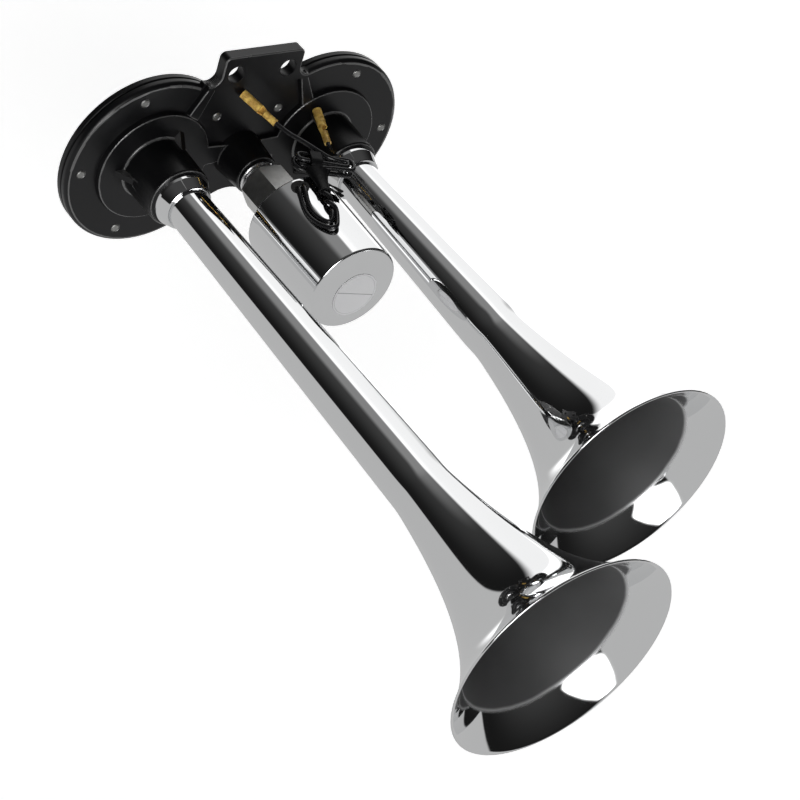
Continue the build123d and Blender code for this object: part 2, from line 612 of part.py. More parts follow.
def build_parts():
    """Every node of the part on the bench frame."""
    parts = {"front_housing": front_housing()}
    for side, name, length, bell in ((-1, "long", LONG_LENGTH, LONG_BELL_R),
                                     (1, "short", SHORT_LENGTH, SHORT_BELL_R)):
        parts[name + "_trumpet"] = trumpet(side, length, bell)
        parts[name + "_collar"] = collar(side)
        parts[name + "_tube_seal"] = tube_seal(side)
        parts[name + "_diaphragm"] = diaphragm(side)
        parts[name + "_gasket"] = gasket(side)
        parts[name + "_rear_cover"] = rear_cover(side)
        parts[name + "_cover_screws"] = Compound(children=cover_screws(side))
    for piece in (valve_body, valve_plunger, plunger_seal, return_spring, guide_tube, guide_o_ring,
                  fixed_core, coil_bobbin, coil_winding, can_plate, valve_can, lead_hank, hank_tie):
        parts[piece.__name__] = piece()
    parts["lead_a_root"] = wire("lead_a_root", [on_can(point) for point in LEAD_A_ROOT])
    parts["lead_b_root"] = wire("lead_b_root", [on_can(point) for point in LEAD_B_ROOT])
    parts["lead_grommet"] = lead_grommet([parts["lead_a_root"], parts["lead_b_root"]])
    parts["lead_a_end"] = lead_end("lead_a_end", LEAD_A_END, TERMINAL_A_TIP, TERMINAL_A_AIM)
    parts["lead_b_end"] = lead_end("lead_b_end", LEAD_B_END, TERMINAL_B_TIP, TERMINAL_B_AIM)
    parts["terminal_a"] = terminal_frame(TERMINAL_A_TIP, TERMINAL_A_AIM) * bullet_terminal()
    parts["terminal_b"] = terminal_frame(TERMINAL_B_TIP, TERMINAL_B_AIM) * bullet_terminal()
    return parts


TO_PART_FRAME = Pos(0, BRACKET_BACK, -HOLE_Y) * Rot(90, 0, 0)

os.makedirs("parts", exist_ok=True)
for node, shape in build_parts().items():
    export_step(TO_PART_FRAME * shape, f"parts/{node}.step")
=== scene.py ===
"""The finish of a twin-trumpet air horn: its chrome, paint, wires and studio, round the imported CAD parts."""
import json
import math

import bpy
from bpy.props import FloatProperty, FloatVectorProperty, IntProperty, PointerProperty
from bpy.types import Operator, Panel, PropertyGroup
from mathutils import Matrix, Vector


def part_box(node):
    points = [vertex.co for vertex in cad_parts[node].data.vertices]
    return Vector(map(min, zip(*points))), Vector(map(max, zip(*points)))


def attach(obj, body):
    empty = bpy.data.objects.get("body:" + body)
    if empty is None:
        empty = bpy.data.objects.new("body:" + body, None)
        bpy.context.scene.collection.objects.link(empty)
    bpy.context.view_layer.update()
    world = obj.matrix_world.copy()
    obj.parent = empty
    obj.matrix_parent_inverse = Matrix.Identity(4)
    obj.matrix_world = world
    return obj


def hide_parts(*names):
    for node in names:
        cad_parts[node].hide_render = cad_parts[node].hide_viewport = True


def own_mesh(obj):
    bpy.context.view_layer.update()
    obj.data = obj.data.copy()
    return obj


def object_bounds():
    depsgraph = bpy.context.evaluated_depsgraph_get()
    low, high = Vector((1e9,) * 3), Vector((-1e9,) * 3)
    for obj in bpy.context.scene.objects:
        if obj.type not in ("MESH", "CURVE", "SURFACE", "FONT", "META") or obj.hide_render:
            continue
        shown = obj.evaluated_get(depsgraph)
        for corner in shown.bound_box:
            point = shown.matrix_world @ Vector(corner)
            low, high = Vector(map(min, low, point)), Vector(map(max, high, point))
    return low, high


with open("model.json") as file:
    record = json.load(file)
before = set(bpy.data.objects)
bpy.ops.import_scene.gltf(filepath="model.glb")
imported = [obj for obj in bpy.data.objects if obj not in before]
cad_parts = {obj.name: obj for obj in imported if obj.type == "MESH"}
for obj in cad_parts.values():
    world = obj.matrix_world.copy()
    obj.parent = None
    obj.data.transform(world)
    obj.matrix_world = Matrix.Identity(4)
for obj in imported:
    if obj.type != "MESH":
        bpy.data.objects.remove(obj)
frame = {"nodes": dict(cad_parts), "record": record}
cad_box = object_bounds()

bl_info = {
    "name": "Air Horn Finish",
    "version": (1, 0, 0),
    "blender": (4, 5, 0),
    "location": "3D View > Sidebar > Air Horn",
    "description": "Chrome, paint, wires and a studio for a twin-trumpet air horn",
    "category": "Object",
}

MM = 0.001

# The bench frame has X to the right, Y up and Z forward to the bells. Its z starts at the
# flanges' front, and its lengths are millimetres.
BRACKET_BACK = -3.3
HOLE_Y = 47.4                       # the bracket's holes
AXIS_X = 47.8                       # the trumpets, to the left and to the right
VALVE_Y = -1.9                      # the valve's axis
BELLS = Vector((0, -1, 0))          # the way that the bells point, in the part's own frame

# ---- sizes repeated from the part's source, millimetres ----------------------------------
TUBE_ROOT_R = 10.3
TUBE_ROOT_Z = 6.5
TUBE_END_R = 13.8
TUBE_STRAIGHT = 36.0
FLARE_LENGTH = 112.0
FLARE_OFFSET = 47.4
FLARE_POWER = 1.178
TRUMPET_WALL = 1.0
TRUMPETS = {"long": (-1, 332.3, 53.4), "short": (1, 256.8, 51.9)}     # side, length, bell's radius
COLLAR_R, COLLAR_SHOULDER = 13.8, 29.5
COLLAR_END, COLLAR_END_R = 34.7, 11.4
COLLAR_BORE = 10.35
CAN_R, CAN_WALL = 22.6, 0.8
CAN_START, CAN_END = 50.9, 105.0
CAN_EDGE = 1.2
CORE_FACE = 76.0
WIRE_R = 1.1
TERMINAL_LENGTH = 20.9
CRIMP_DEPTH = 5.0
HANK_CENTRE = (12.8, 24.1, 47.6)
HANK_TURN, HANK_TILT = -22.2, -4.6  # degrees

# ---- places on the casting, by which its edges and faces are found, millimetres -----------
POCKET_TOP, BRACKET_FRONT = 40.0, -6.0
POCKET_HALF_WIDTH = 23.2
POCKET_EDGE_LENGTH = 4.0            # shorter edges there belong to a corner
SOCKET_R, GUSSET_REACH = 16.4, 21.4
GUSSET_FOOT, GUSSET_TOP = 2.8, 11.5
BOSS_INNER_R, BOSS_OUTER_R = 11.0, 15.3
RIM_DEPTH = 0.3                     # edges farther behind the flanges' front keep plain paint, with no wear and no painted highlight
NARROW_FACE = 0.45                  # a face as narrow as this is part of an edge
MOUTH_LEAN = (0.75, 0.95)           # how far the broken edges at a socket's mouth face the bells
FIN_LEAN, FIN_TURN = 0.2, 0.4       # how far a gusset's side faces the bells, and away from the socket

# ---- sizes of what is added to the solids or altered on them, millimetres -----------------
MERGE_DISTANCE = 0.002
FINE_STEPS = 96                     # divisions round the thread and the label
THROAT_SHADE_DEPTH = 12.6                 # how far the chrome reaches into a bell before the painted dark shade of the throat
THROAT_SHADE_FADE = 1.1                    # half the width over which it ends
THROAT_SHADE_WANDER = 0.8                  # how far its end wanders
RIB = ((23.2, 40.6), (27.4, 43.0), (35.9, 26.6), (29.2, 22.4))
RIB_FOOT, RIB_TOP, RIB_DRAFT, RIB_EDGE = -0.3, 2.68, 0.7, 0.45
POCKET_ROUND = 0.6
BOSS_SLIMMING, BOSS_RISE = 0.85, 0.7
THREAD_BORE, THREAD_R, THREAD_START, THREAD_END = 8.25, 9.5, 19.1, 25.0
THREAD_PITCH, THREAD_DEPTH = 1.8, 0.8
# One turn of the thread: each point's place along the pitch, and its height over the root.
THREAD_TURN = ((0.15, 0.05), (0.45, THREAD_DEPTH), (0.6, THREAD_DEPTH), (0.9, 0.05))
LABEL_X, LABEL_Y, LABEL_R, LABEL_T = 1.8, -5.8, 11.8, 0.12
LABEL_BORDER = 0.9                  # from the label's edge to its outline
LABEL_SLOPE, LABEL_RISE = 0.25, 0.5     # how steep its dividing line is, and how far off its middle
WRAP_START, WRAP_END = (15.5, 26.4, 51.2), (5.2, 25.5, 65.5)
WRAP_START_R, WRAP_END_R, WRAP_FLATNESS = 6.2, 3.0, 0.60
WRAP_EDGE = 0.45
# Each edge of the tape: its place along the wrap, in shares of its length, and its lean.
WRAP_TURNS = ((-0.34, 0.30), (-0.16, 0.22), (0.04, 0.34), (0.24, 0.26))
WRAP_TURN_WAIST = 0.90              # how much slimmer the wrap is at such an edge
WRAP_TAILS = (
    ((6.5, 23.4, 60.0), (10.5, 21.8, 61.4), (15.4, 18.4, 62.0)),
    ((6.0, 23.0, 62.6), (9.8, 21.4, 64.6), (13.4, 18.8, 65.4)),
)
WRAP_TAIL_WIDTH, WRAP_TAIL_T, WRAP_TAIL_EDGE = 3.2, 0.8, 0.2
WRAP_TAIL_TURN = 24.0               # degrees from one point of a loose end to the next

# ---- the leads' routes -------------------------------------------------------------------
# A point on the can is (turn from its top, distance from its axis, z).
LEAD_A_ROOT = (
    (-16.2, 19.2, 56.0), (-16.2, 24.0, 56.2), (-19.2, 26.2, 60.2), (-25.8, 25.0, 66.5),
    (-29.4, 24.3, 73.5), (-28.0, 24.3, 80.5), (-21.5, 24.5, 86.8), (-13.0, 24.6, 88.4),
    (-6.5, 24.5, 84.3),
)
LEAD_B_ROOT = (
    (-9.0, 19.2, 56.0), (-9.2, 24.0, 56.2), (-13.4, 26.0, 60.8), (-19.4, 25.0, 67.0),
    (-22.8, 24.3, 73.5), (-21.6, 24.3, 79.0), (-17.8, 24.5, 83.6), (-12.2, 24.5, 83.6),
)
# From the loop to the hank the two leads are twisted round each other, about this line.
TWIST_START, TWIST_END = (-2.6, 25.1, 79.0), (12.2, 25.1, 51.0)
TWIST_R, TWIST_TURNS, TWIST_STEPS = 1.15, 2, 12
# A point in the hank is (along it, up from the can, across it), from the hank's middle.
LEAD_A_FOLDS = (
    (-4.2, -0.4, 4.6), (-1.6, 0.9, 4.1), (4.0, 1.5, 4.0), (9.6, 1.8, 4.0),
    (14.0, 2.0, 3.6), (14.2, 2.0, -3.6), (9.6, 1.9, -4.1),
    (0.5, 1.0, -4.2), (-8.6, 1.4, -4.1),
    (-13.4, 1.6, -3.4), (-13.2, 1.9, 1.6), (-8.2, 2.1, 1.8),
    (0.0, 1.9, 1.7), (7.2, 1.8, 1.7),
    (11.4, 1.9, 1.5), (11.4, 2.1, -1.7), (7.0, 2.3, -1.7),
    (3.4, 2.6, -1.9),
)
LEAD_B_FOLDS = (
    (-7.4, 0.0, 4.0), (-9.2, -0.8, 2.0),
    (-12.2, -1.4, 1.4), (-12.2, -1.7, -1.7), (-8.4, -1.6, -1.8),
    (0.0, -1.5, -1.7), (8.6, -1.4, -1.7),
    (13.4, -1.3, -1.3), (13.5, -1.2, 3.7), (9.0, -1.5, 4.1),
    (0.5, -1.9, 4.1), (-8.0, -2.3, 4.2),
    (-14.2, -1.8, 3.7), (-14.4, -1.3, -3.6), (-9.0, -1.2, -4.1),
    (-2.0, -1.1, -4.1), (4.4, -0.9, -4.3),
)
LEAD_A_END = ((14.4, 27.1, 45.0), (8.6, 28.7, 35.4))
LEAD_B_END = ((22.4, 23.4, 45.6), (26.0, 20.9, 38.0))
# A terminal's tip, and the point that its crimped end aims at.
TERMINAL_A = ((-6.9, 34.9, 1.4), (1.8, 29.4, 20.0))
TERMINAL_B = ((37.6, 20.7, 4.3), (32.8, 16.1, 23.6))
LEAD_A_LENGTH = 0.210               # metres
LEAD_B_LENGTH = 0.196


def bench(x, y, z):
    """A point of the bench frame, millimetres, in the part's own frame, metres."""
    return Vector((x, BRACKET_BACK - z, y - HOLE_Y)) * MM


def on_can(turn, distance, z):
    """A point beside the can, from its turn about the can's axis and its distance from it."""
    turn = math.radians(turn)
    return (distance * math.sin(turn), VALVE_Y + distance * math.cos(turn), z)


def in_hank(along, up, across):
    """A point of the hank on the bench frame."""
    turn = Matrix.Rotation(math.radians(HANK_TURN), 3, "Y")
    tilt = Matrix.Rotation(math.radians(HANK_TILT), 3, "Z")
    return Vector(HANK_CENTRE) + turn @ tilt @ Vector((along, up, across))


# ---- sizes and colours that can be changed ------------------------------------------------
class HornMeshing(PropertyGroup):
    """How finely the turned pieces are divided, and how far edges are broken."""

    round_steps: IntProperty(
        name="Steps round", description="Divisions round a trumpet, collar or can",
        default=168, min=24, max=256)
    edge_break: FloatProperty(
        name="Edge break", description="Radius on the edges of the cast and machined pieces",
        default=0.35 * MM, unit="LENGTH")
    edge_steps: IntProperty(
        name="Edge steps", description="Divisions across a rounded edge", default=3, min=1, max=6)


class HornColours(PropertyGroup):
    """Base colours of the finishes."""

    paint: FloatVectorProperty(
        name="Paint", description="Black paint on the casting", default=(0.004, 0.004, 0.0045),
        subtype="COLOR")
    chrome: FloatVectorProperty(
        name="Chrome", description="Chrome plate", default=(0.86, 0.865, 0.87), subtype="COLOR")
    # The throat's colour is painted shade, standing in for the dark that the bell's inside mirrors.
    throat: FloatVectorProperty(
        name="Throat", description="Bare sheet deep in a bell", default=(0.050, 0.050, 0.051),
        subtype="COLOR")
    steel: FloatVectorProperty(
        name="Steel", description="Brushed steel of the valve's hexagon", default=(0.75, 0.75, 0.735),
        subtype="COLOR")
    zinc: FloatVectorProperty(
        name="Zinc", description="Dull zinc on the screws", default=(0.36, 0.36, 0.35), subtype="COLOR")
    brass: FloatVectorProperty(
        name="Brass", description="Rolled brass of the terminals", default=(1.0, 0.60, 0.15), subtype="COLOR")
    wire: FloatVectorProperty(
        name="Wire", description="Black insulation of the leads", default=(0.010, 0.010, 0.011),
        subtype="COLOR")


class HornStudio(PropertyGroup):
    """Studio lights and floor."""

    floor_drop: FloatProperty(
        name="Floor", description="How far the floor lies under the bells", default=0.16, unit="LENGTH")
    floor_glow: FloatProperty(
        name="Floor glow", description="Light from under the floor's paper", default=0.84, min=0.0)
    table_light: FloatProperty(
        name="Table", description="How bright the table is in reflections", default=0.50, min=0.0)
    world_light: FloatProperty(
        name="World", description="Strength of all the reflected light", default=1.0, min=0.0)


def settings(group):
    """One of the property groups on the scene."""
    return getattr(bpy.context.scene, "air_horn_" + group)


# ---- shader expressions -------------------------------------------------------------------
class Term:
    """A shader value. Arithmetic on it adds Math nodes."""

    def __init__(self, recipe, socket):
        self.recipe = recipe
        self.socket = socket

    def math(self, operation, *values):
        return self.recipe.node("Math", {"operation": operation}, dict(enumerate(values)))

    def __add__(self, other):
        return self.math("ADD", self, other)

    def __radd__(self, other):
        return self.math("ADD", other, self)

    def __sub__(self, other):
        return self.math("SUBTRACT", self, other)

    def __rsub__(self, other):
        return self.math("SUBTRACT", other, self)

    def __mul__(self, other):
        return self.math("MULTIPLY", self, other)

    def __rmul__(self, other):
        return self.math("MULTIPLY", other, self)

    def __pow__(self, other):
        return self.math("POWER", self, other)

    def clipped(self):
        """The value held between 0 and 1."""
        return self.recipe.node("Clamp", {}, {"Value": self})


class Recipe:
    """Nodes in one tree, added from expressions."""

    def __init__(self, tree):
        self.tree = tree

    def join(self, value, port):
        """Gives a socket a link or a plain value."""
        if isinstance(value, Term):
            self.tree.links.new(value.socket, port)
        elif hasattr(port.default_value, "__len__") and len(port.default_value) == 4 and len(value) == 3:
            port.default_value = (*value, 1.0)
        else:
            port.default_value = value

    def node(self, kind, options=(), sockets=(), output=0):
        """Adds any node: its own settings first, then its sockets' values or links."""
        node = self.tree.nodes.new("ShaderNode" + kind)
        for name, value in dict(options).items():
            setattr(node, name, value)
        for name, value in dict(sockets).items():
            self.join(value, node.inputs[name])
        return Term(self, node.outputs[output])

    def smooth_step(self, value, start, end):
        """0 before start and 1 after end, with a soft change between."""
        return self.node("MapRange", {"interpolation_type": "SMOOTHSTEP"},
                         {"Value": value, "From Min": start, "From Max": end})


class Finish(Recipe):
    """One material and the nodes behind its shader."""

    def __init__(self, name, **constants):
        self.material = bpy.data.materials.new(name)
        self.material.use_nodes = True
        super().__init__(self.material.node_tree)
        self.shader = self.tree.nodes["Principled BSDF"]
        for socket, value in constants.items():
            self.feed(socket.replace("_", " "), value)

    def feed(self, socket, value):
        """Sets or links one socket of the material's own shader."""
        self.join(value, self.shader.inputs[socket])

    def place(self, stretch=(1, 1, 1)):
        """Object coordinates, stretched."""
        here = self.node("TexCoord", output="Object")
        return self.node("Mapping", {}, {"Vector": here, "Scale": stretch})

    def noise(self, size, detail=2.0, stretch=(1, 1, 1)):
        """Soft random value with features of about this size in metres."""
        return self.node("TexNoise", {}, {"Vector": self.place(stretch), "Scale": 1 / size, "Detail": detail})

    def axes(self):
        """The three object coordinates."""
        here = self.place()
        return [self.node("SeparateXYZ", {}, {"Vector": here}, output=side) for side in "XYZ"]

    def line(self, value, at, width=0.3 * MM):
        """1 where the value is within a line's width of a place."""
        return self.node("Math", {"operation": "COMPARE"}, {0: value, 1: at, 2: width / 2})

    def tint(self, factor, low, high):
        """A colour between two others."""
        return self.node("Mix", {"data_type": "RGBA"}, {0: factor, 6: low, 7: high}, output=2)

    def bump(self, height, depth):
        """Sends a height in 0 to 1, this deep in metres, to the shader's normal."""
        self.feed("Normal", self.node("Bump", {}, {"Strength": 1.0, "Distance": depth, "Height": height}))


def shade(colour, by):
    """A colour made lighter or darker."""
    return tuple(min(1.0, part * by) for part in colour)


def casting_paint():
    """Satin black paint over a slightly uneven casting."""
    colour = settings("colours").paint
    paint = Finish("casting_paint", Specular_IOR_Level=0.32)
    broad = paint.noise(0.030, 3.0)
    peel = paint.noise(0.0014, 1.0)
    paint.feed("Base Color", paint.tint(broad, shade(colour, 0.7), shade(colour, 1.4)))
    paint.feed("Roughness", 0.24 + 0.12 * broad + 0.04 * peel)
    paint.bump(peel + 0.5 * broad, 0.006 * MM)
    return paint.material


def edge_wear_and_painted_highlight():
    """Glossy, lighter paint on the casting's edges and fins: partly rubbed wear, partly a painted highlight
    for the light that these edges catch.
    """
    wear_and_painted_highlight = Finish("edge_wear_and_painted_highlight", Specular_IOR_Level=1.0)
    patch = wear_and_painted_highlight.noise(0.012, 2.0)
    # The lighter grey of these faces is painted highlight as well as wear.
    wear_and_painted_highlight.feed("Base Color", wear_and_painted_highlight.tint(patch, (0.040, 0.040, 0.040), (0.095, 0.095, 0.095)))
    wear_and_painted_highlight.feed("Roughness", 0.20 + 0.16 * patch)
    wear_and_painted_highlight.bump(patch, 0.010 * MM)
    return wear_and_painted_highlight.material


def chrome_plate():
    """Bright chrome: a mirror with faint wipe marks."""
    colour = settings("colours").chrome
    chrome = Finish("chrome_plate", Metallic=1.0)
    wipe = chrome.noise(0.018, 4.0, (1, 0.3, 1))
    chrome.feed("Base Color", chrome.tint(wipe, shade(colour, 0.97), shade(colour, 1.02)))
    chrome.feed("Roughness", 0.025 + 0.05 * wipe ** 2.0)
    chrome.bump(chrome.noise(0.022, 0.0), 0.010 * MM)
    return chrome.material


def bell_inside(name, rim_z):
    """Chrome for a short way inside the rim, then a dull dark colour deeper in the throat: painted shade for
    the dark that the throat mirrors.
    """
    colour = settings("colours").chrome
    throat_shade_colour = settings("colours").throat
    inside = Finish(name)
    y = inside.axes()[1]
    edge = bench(0, 0, rim_z - THROAT_SHADE_DEPTH).y
    uneven = (inside.noise(0.012, 2.0) - 0.5) * THROAT_SHADE_WANDER * MM
    deep = inside.smooth_step(y + uneven, edge - THROAT_SHADE_FADE * MM, edge + THROAT_SHADE_FADE * MM)
    # Painted shade: a dull dark colour, unevenly clouded, deep in the throat.
    cloud = inside.tint(inside.noise(0.020, 2.0), shade(throat_shade_colour, 0.8), shade(throat_shade_colour, 1.25))
    inside.feed("Base Color", inside.tint(deep, colour, cloud))
    inside.feed("Metallic", 1.0 - deep)
    inside.feed("Roughness", 0.04 + 0.50 * deep)
    inside.bump(inside.noise(0.022, 0.0), 0.010 * MM)
    return inside.material


def brushed_steel(name, colour, roughness, grain, stretch=(1, 1, 1)):
    """Bare or zinc-plated steel with fine tool marks."""
    steel = Finish(name, Metallic=1.0)
    marks = steel.noise(grain, 4.0, stretch)
    stain = steel.noise(0.004, 3.0)
    steel.feed("Base Color", steel.tint(stain, shade(colour, 0.75), shade(colour, 1.2)))
    steel.feed("Roughness", (roughness - 0.12) + 0.16 * marks + 0.08 * stain)
    steel.bump(marks, 0.03 * MM)
    return steel.material


def rolled_brass():
    """Bright brass with rolling marks and darker patches."""
    colour = settings("colours").brass
    brass = Finish("rolled_brass", Specular_IOR_Level=0.7)
    marks = brass.noise(0.0012, 2.0)
    stain = brass.smooth_step(brass.noise(0.0026, 3.0), 0.40, 0.62)
    brass.feed("Base Color", brass.tint(stain, shade(colour, 0.70), shade(colour, 1.15)))
    brass.feed("Metallic", 0.12 - 0.12 * stain)
    brass.feed("Roughness", 0.22 + 0.12 * marks)
    brass.bump(marks, 0.010 * MM)
    return brass.material


def smooth_polymer(name, colour, roughness, grain, depth, specular=0.5):
    """Rubber, insulation or moulded plastic with a fine skin."""
    skin = Finish(name, Specular_IOR_Level=specular)
    fine = skin.noise(grain, 2.0)
    cloud = skin.noise(0.007, 2.0)
    skin.feed("Base Color", skin.tint(cloud, shade(colour, 0.8), shade(colour, 1.3)))
    skin.feed("Roughness", (roughness - 0.08) + 0.1 * fine + 0.08 * cloud)
    skin.bump(fine, depth)
    return skin.material


def label_film():
    """Grey film on the can's end: bare, with a thin outline and one dividing line."""
    film = Finish("label_film", Metallic=0.35)
    x, _, z = film.axes()
    x, z = x - LABEL_X * MM, z - (LABEL_Y - HOLE_Y) * MM
    radius = (x * x + z * z) ** 0.5
    border = (LABEL_R - LABEL_BORDER) * MM
    within = film.smooth_step(radius, border + 0.1 * MM, border - 0.1 * MM)
    divide = film.line(z + LABEL_SLOPE * x, LABEL_RISE * MM) * within
    cloud = film.noise(0.006, 2.0)
    ink = (0.35 * film.line(radius, border) + divide).clipped()
    film.feed("Base Color", film.tint(ink, (0.74, 0.74, 0.75), (0.20, 0.20, 0.21)))
    film.feed("Roughness", 0.30 + 0.10 * cloud)
    film.bump(cloud, 0.01 * MM)
    return film.material


def wound_copper():
    """Varnished copper turns side by side along the valve's axis."""
    copper = Finish("wound_copper", Metallic=1.0)
    turns = copper.node("TexWave", {"bands_direction": "Y"}, {"Vector": copper.place(), "Scale": 550.0})
    copper.feed("Base Color", copper.tint(turns, (0.30, 0.11, 0.05), (0.72, 0.34, 0.18)))
    copper.feed("Roughness", 0.25 + 0.15 * turns)
    copper.bump(turns, 0.15 * MM)
    return copper.material


FINISHES = {
    "housing_black": casting_paint,
    "chrome": chrome_plate,
    "hex_steel": lambda: brushed_steel(
        "hex_steel", settings("colours").steel, roughness=0.42, grain=0.0012, stretch=(1, 0.5, 1)),
    "screw_zinc": lambda: brushed_steel(
        "screw_zinc", settings("colours").zinc, roughness=0.48, grain=0.0006),
    "spring_steel": lambda: brushed_steel(
        "spring_steel", (0.42, 0.43, 0.45), roughness=0.26, grain=0.0010),
    "core_steel": lambda: brushed_steel(
        "core_steel", (0.36, 0.36, 0.37), roughness=0.34, grain=0.0009),
    "seal_rubber": lambda: smooth_polymer(
        "seal_rubber", (0.016, 0.016, 0.016), roughness=0.62, grain=0.0006, depth=0.02 * MM),
    "gasket_fibre": lambda: smooth_polymer(
        "gasket_fibre", (0.10, 0.085, 0.07), roughness=0.80, grain=0.0005, depth=0.05 * MM),
    "bobbin_plastic": lambda: smooth_polymer(
        "bobbin_plastic", (0.62, 0.60, 0.55), roughness=0.42, grain=0.0012, depth=0.01 * MM),
    "copper_winding": wound_copper,
    "wire_black": lambda: smooth_polymer(
        "wire_black", settings("colours").wire, roughness=0.24, grain=0.0016, depth=0.03 * MM),
    "tie_black": lambda: smooth_polymer(
        "tie_black", (0.004, 0.004, 0.0045), roughness=0.48, grain=0.0012, depth=0.10 * MM, specular=0.2),
    "terminal_brass": rolled_brass,
}


def finish_of(slot):
    """The material of one slot, made once."""
    made = bpy.data.materials.get("slot_" + slot)
    if made is None:
        made = FINISHES[slot]()
        made.name = "slot_" + slot
    return made


# ---- modelling ----------------------------------------------------------------------------
def to_object_mode():
    """Leaves edit mode, where an object is in it."""
    if bpy.context.object and bpy.context.object.mode != "OBJECT":
        bpy.ops.object.mode_set(mode="OBJECT")


def only(piece):
    """Makes one object the selected and active one."""
    to_object_mode()
    bpy.ops.object.select_all(action="DESELECT")
    piece.select_set(True)
    bpy.context.view_layer.objects.active = piece


def added(primitive, name, **placing):
    """Adds a primitive with nothing else selected."""
    to_object_mode()
    bpy.ops.object.select_all(action="DESELECT")
    getattr(bpy.ops.mesh, f"primitive_{primitive}_add")(**placing)
    piece = bpy.context.object
    piece.name = name
    piece.data.name = name
    return piece


def edit_all(piece):
    """Opens one object in edit mode with all of it selected."""
    only(piece)
    bpy.ops.object.mode_set(mode="EDIT")
    bpy.ops.mesh.select_all(action="SELECT")


def edit_some(piece, kind, chosen):
    """Opens one object in edit mode with only its chosen vertices or edges selected."""
    only(piece)
    bpy.ops.object.mode_set(mode="EDIT")
    bpy.ops.mesh.select_mode(type=kind)
    bpy.ops.mesh.select_all(action="DESELECT")
    to_object_mode()
    for part in {"VERT": piece.data.vertices, "EDGE": piece.data.edges}[kind]:
        part.select = chosen(part)
    bpy.ops.object.mode_set(mode="EDIT")


def apply_modifier(piece, kind, **values):
    """Adds a modifier, sets it and applies it."""
    only(piece)
    bpy.ops.object.modifier_add(type=kind)
    modifier = piece.modifiers[-1]
    for name, value in values.items():
        setattr(modifier, name, value)
    bpy.ops.object.modifier_apply(modifier=modifier.name)


def bevelled(piece, width, steps, angle=30):
    """Rounds the edges that are sharper than an angle."""
    apply_modifier(piece, "BEVEL", width=width, segments=steps, limit_method="ANGLE",
                   angle_limit=math.radians(angle))


def drawn_line(name, points):
    """A line of edges, drawn from one corner point to the next."""
    piece = added("plane", name, size=MM)
    edit_all(piece)
    bpy.ops.mesh.merge(type="CENTER")
    bpy.ops.transform.translate(value=points[0])
    for before, after in zip(points, points[1:]):
        bpy.ops.mesh.extrude_vertices_move(TRANSFORM_OT_translate={"value": after - before})
    return piece


def turned(name, axis, profile, steps=None):
    """A piece turned about an axis along the bells' way, from (radius, z) points."""
    x, y = axis
    piece = drawn_line(name, [bench(x + radius, y, z) for radius, z in profile])
    bpy.ops.mesh.select_all(action="SELECT")
    bpy.ops.mesh.spin(steps=steps or settings("meshing").round_steps, angle=math.tau,
                      center=bench(x, y, 0), axis=BELLS)
    bpy.ops.mesh.select_all(action="SELECT")
    bpy.ops.mesh.remove_doubles(threshold=MERGE_DISTANCE * MM)
    bpy.ops.mesh.normals_make_consistent(inside=False)
    to_object_mode()
    return piece


def rounded(corners, radii, steps=4):
    """A closed profile with an arc at each corner that has a radius."""
    count = len(corners)
    points = []
    for index, radius in enumerate(radii):
        corner = Vector(corners[index])
        if radius == 0:
            points.append(tuple(corner))
            continue
        to_before = (Vector(corners[index - 1]) - corner).normalized()
        to_after = (Vector(corners[(index + 1) % count]) - corner).normalized()
        half = to_before.angle(to_after) / 2
        centre = corner + (to_before + to_after).normalized() * radius / math.sin(half)
        start = corner + to_before * radius / math.tan(half) - centre
        end = corner + to_after * radius / math.tan(half) - centre
        for step in range(steps + 1):
            points.append(tuple(centre + start.slerp(end, step / steps)))
    return points


def smoothed(piece, angle):
    """Smooth shading, kept sharp past an angle, with flat faces left flat."""
    only(piece)
    bpy.ops.object.shade_smooth_by_angle(angle=math.radians(angle))
    apply_modifier(piece, "WEIGHTED_NORMAL", keep_sharp=True)


def finished(piece, slot, replaced=()):
    """Gives a piece the material of a slot and the horn's body, and hides the nodes that it replaces."""
    to_object_mode()
    piece.data.materials.clear()
    piece.data.materials.append(finish_of(slot))
    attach(piece, "horn")
    if replaced:
        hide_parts(*replaced)
    return piece


def lined(piece, material, chosen=lambda face: True):
    """Gives the chosen faces a second material, or all of them."""
    piece.data.materials.append(material)
    for face in piece.data.polygons:
        face.material_index = int(chosen(face))


# ---- trumpets and collars -----------------------------------------------------------------
# How far back from the rim the flare has its rings, closer together where it bends more.
FLARE_BACKS = (97, 92, 87, 82, 76, 70, 64, 58, 52, 46, 41, 36, 31, 27, 23, 19.5, 16, 13, 10.5, 8, 6, 4,
               2.5, 1.2, 0.45)
NECK_STEPS = 6
RIM_STEPS = 5
RIM_FULLNESS = 0.8
INWARD = -0.02                      # a face of the trumpet's inside leans at least this far to its axis


def flare_point(length, bell, back, depth):
    """A point of the flare, this far back from the rim and this deep in the sheet."""
    radius = bell * (FLARE_OFFSET / (back + FLARE_OFFSET)) ** FLARE_POWER
    tilt = math.atan(FLARE_POWER * radius / (back + FLARE_OFFSET))
    rim_tilt = math.atan(FLARE_POWER * bell / FLARE_OFFSET)
    rim = length - TRUMPET_WALL * math.sin(rim_tilt)
    return Vector((radius - depth * math.cos(tilt), rim - back + depth * math.sin(tilt)))


